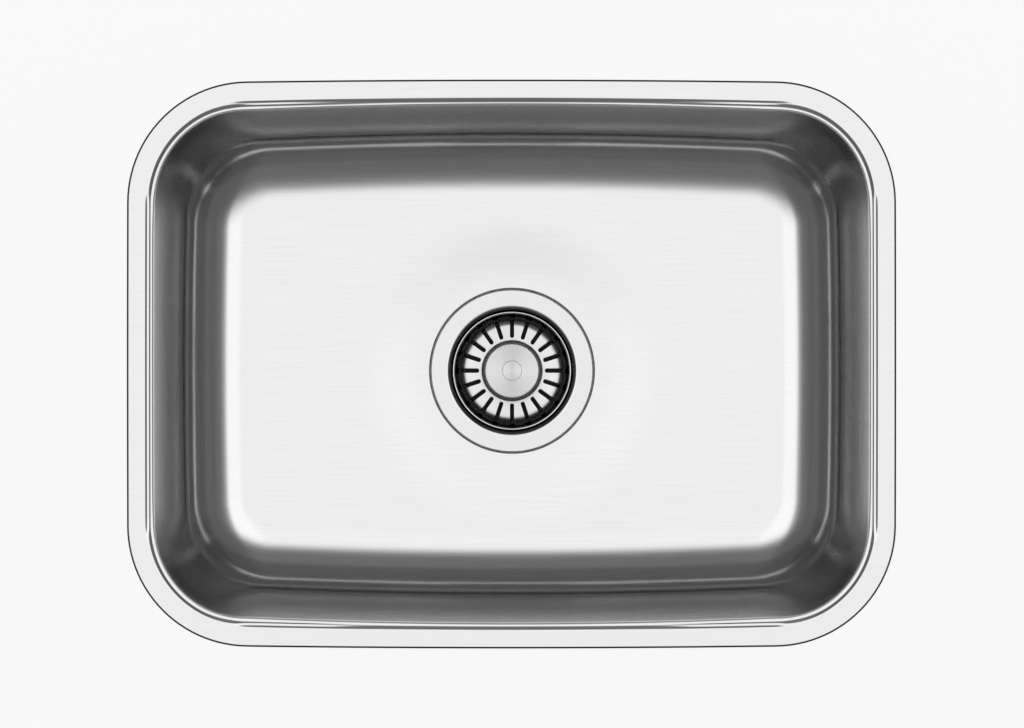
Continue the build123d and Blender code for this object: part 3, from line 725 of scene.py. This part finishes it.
def makeBasket():
    # the web between two slots is one grid: rows run out along the profile, and columns go from one
    # slot's edge to the next; an edge stands off the slot's middle line by asin(half width / radius)
    half = basket["sheet"] / 2
    path = bent([(basket["bore"], basketFloor - half), (basket["floorRadius"], basketFloor - half),
                 (basketRadius - basket["rimWidth"], basketRim - half), (basketRadius, basketRim - half)],
                [basket["bend"], basket["rimBend"]], 7)
    halfSlot = basket["slotWidth"] / 2
    ends = halfSlot * (1 - np.cos(np.linspace(0, np.pi / 2, 7)))
    wanted = np.concatenate([basket["slotInner"] + ends, basket["slotOuter"] - ends,
                             np.linspace(basket["bore"], basketRadius, 40)])
    path = divided(path, 1.2)
    heights = np.interp(wanted, path[:, 0], path[:, 1])
    path = np.concatenate([path, np.stack([wanted, heights], 1)])
    path = path[np.argsort(path[:, 0], kind="stable")]
    path = path[np.append(True, np.linalg.norm(np.diff(path, axis=0), axis=1) > 0.02)]
    radius, height = path[:, 0], path[:, 1]
    toEnd = np.minimum(radius - basket["slotInner"], basket["slotOuter"] - radius)
    fromCentre = np.clip(halfSlot - toEnd, 0, None)
    opening = np.where(toEnd <= 0, 0, np.sqrt(np.clip(halfSlot ** 2 - fromCentre ** 2, 0, None)))
    edge = np.arcsin(opening / radius)
    step = 2 * np.pi / basket["slots"]
    share = np.linspace(0, 1, basket["webColumns"] + 1)[None, :]
    angle = edge[:, None] + (step - 2 * edge[:, None]) * share
    sectors = angle[None] + (np.arange(basket["slots"]) * step)[:, None, None]
    x = drainX + radius[None, :, None] * np.cos(sectors)
    y = drainY + radius[None, :, None] * np.sin(sectors)
    z = np.broadcast_to(height[None, :, None], x.shape)
    points = np.stack([x, y, z], -1)
    count, rows, columns = x.shape
    s = np.arange(count)[:, None, None] * rows * columns
    i = np.arange(rows - 1)[None, :, None]
    j = np.arange(columns - 1)[None, None, :]
    first = s + i * columns + j
    faces = np.stack([first, first + columns, first + columns + 1, first + 1], -1).reshape(-1, 4)
    mesh = bpy.data.meshes.new("basket_shell")
    mesh.from_pydata((points.reshape(-1, 3) * mm).tolist(), [], faces.tolist())
    along = np.append(0, np.cumsum(np.linalg.norm(np.diff(path, axis=0), axis=1)))
    skin = np.stack(np.broadcast_arrays(sectors * 30, along[None, :, None]), -1).reshape(-1, 2) * mm
    mesh.uv_layers.new(name="surface").data.foreach_set("uv", skin[faces.ravel()].astype(np.float32).ravel())
    work = bmesh.new()
    work.from_mesh(mesh)
    bmesh.ops.remove_doubles(work, verts=work.verts, dist=2e-6)
    bmesh.ops.recalc_face_normals(work, faces=work.faces)
    if sum(face.normal.z for face in work.faces) < 0:
        bmesh.ops.reverse_faces(work, faces=work.faces)
    work.to_mesh(mesh)
    work.free()
    mesh.shade_smooth()
    piece = place("basket_shell", mesh, "basket_unit", basketSteel, ["basket"])
    wall = piece.modifiers.new("thickness", "SOLIDIFY")
    wall.thickness = basket["sheet"] * mm
    wall.offset = 0
    wall.use_even_offset = True
    edges = piece.modifiers.new("edges", "BEVEL")
    edges.width = 0.08 * mm
    edges.segments = 2
    edges.limit_method = "ANGLE"
    edges.angle_limit = math.radians(50)
    print("basket:", len(mesh.polygons), "faces")


makeBasket()

knob = {"foot": 21.2, "face": 18.3, "sheet": 0.8, "shoulder": 6.6, "shoulderFrom": 27.0, "shoulderTo": 62.5,
        "dimpleRound": 0.12, "gap": 0.1}
stem = {"head": 6.75, "headHeight": 0.9, "radius": 3.0, "running": 0.08, "pin": 2.2}
knobLow, knobHigh = boxMm("knob")
stemLow, stemHigh = boxMm("stem")
nutLow, nutHigh = boxMm("stem_nut")


def makeKnob():
    # the outer face down the skirt from the dimple, then the inner face back up, one sheet away
    sheet, foot, top = knob["sheet"], knobLow[2], knobHigh[2]
    bore = stem["radius"] + stem["running"]
    dimple = stem["head"] + knob["gap"]
    floor = top - stem["headHeight"]
    # shoulder: an arc that starts with a crease at the flat face's edge and ends nearly upright
    turn = np.radians(np.linspace(knob["shoulderFrom"], knob["shoulderTo"], 12))
    centre = np.array([knob["face"] - knob["shoulder"] * math.sin(turn[0]),
                       top - 0.1 - knob["shoulder"] * math.cos(turn[0])])
    arc = np.stack([np.sin(turn), np.cos(turn)], 1)
    outerArc = (centre + knob["shoulder"] * arc).tolist()
    innerArc = (centre + (knob["shoulder"] - sheet) * arc)[::-1].tolist()
    points = [(bore, floor - sheet / 2), (bore, floor), (dimple, floor), (dimple, top),
              (knob["face"] - 0.2, top)]
    radii = [0.1, 0.1, knob["dimpleRound"], 0.2] + [0] * len(outerArc) + [0.3, 0.3] + [0] * len(innerArc)
    points += outerArc + [(knob["foot"], foot), (knob["foot"] - sheet, foot)] + innerArc
    points += [(dimple + sheet, top - sheet), (dimple + sheet, floor - sheet), (bore, floor - sheet),
               (bore, floor - sheet / 2)]
    outline = bent(points, radii + [0.1, 0.5, 0.1], 9)[:-1]
    piece = turnedPiece("knob_cover", divided(outline, 1.0), "basket_unit", turnedSteel,
                        ["knob"], 200)
    print("knob:", len(piece.data.polygons), "faces")


def makeStem():
    # the post's profile: a flat head, the shank down to the nut, and the thinner pin below it
    top = stemHigh[2]
    under = top - stem["headHeight"]
    path = bent([(0, top), (stem["head"], top), (stem["head"], under), (stem["radius"], under),
                 (stem["radius"], nutLow[2]), (stem["pin"], nutLow[2]), (stem["pin"], stemLow[2]),
                 (0, stemLow[2])], [0.12, 0.1, 0.1, 0.2, 0.1, 0.5], 15)
    piece = turnedPiece("stem_post", divided(path, 2.0), "stopper_stack", turnedSteel,
                        ["stem"], 96)
    print("stem:", len(piece.data.polygons), "faces")


makeKnob()
makeStem()


clamp = {"bore": 44.5, "nutRadius": 52.0, "lugs": 6, "lugReach": 5.0, "lugWidth": 11.0,
         "lip": 2.5}


def ringOutline(node, bore, radius=None, rounding=0.3):
    # a plain ring between a CAD node's top and bottom
    low, high = boxMm(node)
    outer = (high[0] - low[0]) / 2 if radius is None else radius
    return roundedOutline([(bore, low[2]), (outer, low[2]), (outer, high[2]), (bore, high[2])], rounding)


def makeClampRings():
    # the gasket and the card are plain rings, and the nut's profile has a lip and six lugs
    turnedPiece("gasket_ring", ringOutline("rubber_gasket", clamp["bore"], None, 0.7), "sink", blackRubber,
                ["rubber_gasket"], 128)
    turnedPiece("card_ring", ringOutline("friction_ring", clamp["bore"], None, 0.25), "sink", card,
                ["friction_ring"], 128)
    low, high = boxMm("lock_nut")
    radius, lip = clamp["nutRadius"], boxMm("friction_ring")[1][0]
    bore, step = clamp["bore"], high[2] - clamp["lip"]
    outline = bent([(bore, low[2] + 2), (bore, low[2]), (radius, low[2]), (radius, step), (lip, step),
                    (lip, high[2]), (bore, high[2]), (bore, low[2] + 2)], [0.5, 0.8, 0.4, 0.3, 0.3, 0.5], 30)
    outline = divided(outline[:-1], 1.5)
    reach = radius + clamp["lugReach"]

    def lugs(r, height, angle):
        # six lugs: the outer wall stands out to one radius where |arc from a lug's middle| < half its width
        step = 2 * np.pi / clamp["lugs"]
        arc = (angle - np.round(angle / step) * step) * reach
        share = smooth(np.abs(arc), clamp["lugWidth"] / 2 + 0.5, clamp["lugWidth"] / 2 - 0.5)
        rounding = smooth(height, low[2], low[2] + 0.8) * smooth(height, high[2], high[2] - 0.3)
        full = (reach - r) * (0.9 + 0.1 * rounding)
        return np.where(r > radius - 1.0, share * full, 0)

    turnedPiece("clamp_nut", outline, "sink", castZinc, ["lock_nut"], 480, lugs)
    print("clamp rings ready")


pipe = {"radius": 19.05, "wall": 0.9, "relief": 0.2, "reliefHeight": 5.3, "flange": 21.9, "flangeThick": 1.2,
        "nutBore": 22.5, "nutWall": 3.2, "nutFloor": 2.0, "sleeve": 0.3, "ribs": 16, "ribReach": 1.4,
        "ribWidth": 3.0}


def makeWaste():
    # the tube's profile with its collar and a relief under it, then the washer and the ribbed nut
    low, high = boxMm("tailpiece")
    bore, radius = pipe["radius"] - pipe["wall"], pipe["radius"]
    collar = high[2] - pipe["flangeThick"]
    relief, reliefEnd = radius - pipe["relief"], collar - pipe["reliefHeight"]
    tube = bent([(bore, low[2] + 1), (bore, low[2]), (radius, low[2]), (radius, reliefEnd),
                 (relief, reliefEnd), (relief, collar), (pipe["flange"], collar), (pipe["flange"], high[2]),
                 (bore, high[2]), (bore, low[2] + 1)], [0.25, 0.25, 0.1, 0.05, 0.3, 0.3, 0.3, 0.6], 20)
    turnedPiece("waste_tube", divided(tube[:-1], 6.0), "sink", platedBrass, ["tailpiece"],
                120)
    turnedPiece("joint_washer", ringOutline("tailpiece_washer", bore), "sink", whiteSeal,
                ["tailpiece_washer"], 96)
    low, high = boxMm("coupling_nut")
    outer = pipe["nutBore"] + pipe["nutWall"]
    inner = radius + pipe["sleeve"]
    shoulder = low[2] + pipe["nutFloor"]
    shell = bent([(inner, low[2] + 1), (inner, low[2]), (outer, low[2]), (outer, high[2]),
                  (pipe["nutBore"], high[2]), (pipe["nutBore"], shoulder), (inner, shoulder),
                  (inner, low[2] + 1)],
                 [0.3, 1.2, 0.5, 0.4, 0.2, 0.2], 15)

    def ribs(r, height, angle):
        # ribs down the outside: a half sine across each rib's width, run out at the top and the bottom
        step = 2 * np.pi / pipe["ribs"]
        arc = (angle - np.round(angle / step) * step) * outer
        across = np.clip(1 - (arc / (pipe["ribWidth"] / 2)) ** 2, 0, 1) ** 0.5
        ends = smooth(height, low[2], low[2] + 1.6) * smooth(height, high[2], high[2] - 1.2)
        return np.where(r > outer - 0.6, pipe["ribReach"] * across * ends, 0)

    turnedPiece("joint_nut", divided(shell[:-1], 0.8), "sink", platedBrass, ["coupling_nut"],
                320, ribs)
    print("waste pipe ready")


makeClampRings()
makeWaste()


def makeStopper():
    # a rubber disc with a bevelled edge, its steel plate, and the stepped sleeve over both
    low, high = boxMm("stopper")
    radius = (high[0] - low[0]) / 2
    bore = stem["radius"] + stem["running"]
    outline = roundedOutline([(bore, low[2]), (radius - 1.5, low[2]), (radius, low[2] + 1.5),
                              (radius - 1.5, high[2]), (bore, high[2])], 0.4)
    turnedPiece("rubber_stopper", divided(outline, 2.0), "stopper_stack", blackRubber,
                ["stopper"], 128)
    turnedPiece("stopper_plate", ringOutline("stopper_washer", bore, None, 0.2), "stopper_stack", turnedSteel,
                ["stopper_washer"], 96)
    low, high = boxMm("stem_spacer")
    shoulder = basketLow[2]
    outline = roundedOutline([(bore, low[2]), (7.0, low[2]), (7.0, shoulder), (4.5, shoulder), (4.5, high[2]),
                              (bore, high[2])], 0.15)
    turnedPiece("spacer_sleeve", outline, "stopper_stack", turnedSteel, ["stem_spacer"], 96)
    print("stopper ready")


makeStopper()


# nodes whose shape in the solids is right only get a finish
keptNodes = {"strainer_seal": whiteSeal, "crossbar": millSteel, "stem_nut": brass, "spring_clip": millSteel}
keptNodes.update({name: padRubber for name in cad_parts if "pad" in name})
for name, material in keptNodes.items():
    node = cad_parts[name]
    node.data.materials.clear()
    node.data.materials.append(material)
print("kept", len(keptNodes), "CAD nodes")


studio = {
    # brightness against the angle off straight up, in degrees: to the sides, to the back, to the front
    "aside": ((0, 0.98), (4, 1.01), (8, 1.12), (24, 1.12), (28, 0.75), (31, 0.34), (34, 0.2), (38, 0.06),
              (45, 0.03), (52, 0.0), (60, 0.02), (90, 0.0)),
    "back": ((0, 1.0), (20, 1.0), (26, 0.78), (30, 0.46), (37, 0.1), (45, 0.05), (60, 0.05), (75, 0.03),
             (90, 0.02)),
    "front": ((0, 1.0), (3, 0.97), (8, 0.76), (15, 0.42), (22, 0.17), (29, 0.09), (40, 0.04), (60, 0.03),
              (90, 0.02)),
    "curveTop": 2.0,                # the brightness at the top of each curve's graph
    "overhead": 1.1, "room": 0.14,
    "horizon": 0.92, "horizonTop": 10.0,
    "floorGap": 0.4, "floorSize": 60.0, "floorShare": 0.88, "floorWhite": 1.03,
}


def lightCurve(tree, angle, stops):
    # brightness read off a curve of (degrees, brightness) stops
    share = addNode(tree, "ShaderNodeMath", {"operation": "DIVIDE"}, {0: angle, 1: math.pi / 2})
    curve = addNode(tree, "ShaderNodeFloatCurve", inputs={"Value": share})
    points = curve.mapping.curves[0].points
    while len(points) < len(stops):
        points.new(0.5, 0.5)
    for point, (degrees, brightness) in zip(points, stops):
        point.location = (degrees / 90, brightness / studio["curveTop"])
        point.handle_type = "AUTO_CLAMPED"
    curve.mapping.update()
    return addNode(tree, "ShaderNodeMath", {"operation": "MULTIPLY"}, {0: curve, 1: studio["curveTop"]})


def makeWorld():
    # a soft box overhead in a dim room with a pale horizon, worked out from the direction alone:
    # brightness = room + box * side curve(angle along X) * front or back curve(angle along Y)
    world = bpy.data.worlds.new("studioWorld")
    bpy.context.scene.world = world
    world.use_nodes = True
    tree = world.node_tree
    direction = addNode(tree, "ShaderNodeTexCoord").outputs["Generated"]
    x, y, z = addNode(tree, "ShaderNodeSeparateXYZ", inputs={0: direction}).outputs
    up = addNode(tree, "ShaderNodeMath", {"operation": "MAXIMUM"}, {0: z, 1: 0.0})
    angles = []
    for side in (x, y):
        away = addNode(tree, "ShaderNodeMath", {"operation": "ABSOLUTE"}, {0: side})
        angles.append(addNode(tree, "ShaderNodeMath", {"operation": "ARCTAN2"}, {0: away, 1: up}))
    towardsBack = addNode(tree, "ShaderNodeMath", {"operation": "GREATER_THAN"}, {0: y, 1: 0.0})
    alongY = addNode(tree, "ShaderNodeMix", inputs={
        "Factor": towardsBack, 2: lightCurve(tree, angles[1], studio["front"]),
        3: lightCurve(tree, angles[1], studio["back"])})
    box = addNode(tree, "ShaderNodeMath", {"operation": "MULTIPLY"}, {
        0: lightCurve(tree, angles[0], studio["aside"]), 1: alongY})
    light = addNode(tree, "ShaderNodeMath", {"operation": "MULTIPLY_ADD"}, {
        0: box, 1: studio["overhead"], 2: studio["room"]})
    horizonRise = math.sin(math.radians(studio["horizonTop"]))
    horizon = addNode(tree, "ShaderNodeMapRange", {"interpolation_type": "SMOOTHSTEP"}, {
        "Value": z, "From Min": horizonRise * 0.5, "From Max": horizonRise * 1.5,
        "To Min": 1.0, "To Max": 0.0})
    total = addNode(tree, "ShaderNodeMath", {"operation": "MULTIPLY_ADD"}, {
        0: horizon, 1: studio["horizon"], 2: light})
    # the camera sees plain white behind the object, where a strength of 1 is white
    seen = addNode(tree, "ShaderNodeLightPath").outputs["Is Camera Ray"]
    white = addNode(tree, "ShaderNodeMix", inputs={"Factor": seen, 2: total, 3: 1.0})
    setInputs(tree, tree.nodes["Background"], {"Strength": white, "Color": (1, 1, 1, 1)})


def makeFloor():
    # a white sweep: white to the camera and in reflections, with a share of plain paint for the shadow
    level = cadLow.z - studio["floorGap"] * mm
    half = studio["floorSize"] / 2
    mesh = bpy.data.meshes.new("studioFloor")
    mesh.from_pydata([(-half, -half, level), (half, -half, level), (half, half, level), (-half, half, level)],
                     [], [(0, 1, 2, 3)])
    floor = bpy.data.objects.new("studioFloor", mesh)
    bpy.context.scene.collection.objects.link(floor)
    material = bpy.data.materials.new("studioPaper")
    material.use_nodes = True
    tree = material.node_tree
    tree.nodes.remove(tree.nodes["Principled BSDF"])
    paper = addNode(tree, "ShaderNodeBsdfDiffuse", inputs={"Color": (0.8, 0.8, 0.8, 1)})
    glow = addNode(tree, "ShaderNodeEmission", inputs={"Strength": studio["floorWhite"]})
    seen = 0.0
    for ray in ("Is Camera Ray", "Is Glossy Ray", "Is Transmission Ray"):
        hit = addNode(tree, "ShaderNodeLightPath").outputs[ray]
        seen = addNode(tree, "ShaderNodeMath", {"operation": "ADD", "use_clamp": True}, {0: seen, 1: hit})
    share = addNode(tree, "ShaderNodeMath", {"operation": "MULTIPLY"}, {0: seen, 1: studio["floorShare"]})
    mixed = addNode(tree, "ShaderNodeMixShader", inputs={0: share, 1: paper, 2: glow})
    below = addNode(tree, "ShaderNodeBsdfTransparent")
    facing = addNode(tree, "ShaderNodeNewGeometry").outputs["Backfacing"]
    whole = addNode(tree, "ShaderNodeMixShader", inputs={0: facing, 1: mixed, 2: below})
    setInputs(tree, tree.nodes["Material Output"], {"Surface": whole})
    mesh.materials.append(material)


makeWorld()
makeFloor()
print("studio ready")


bpy.context.view_layer.update()
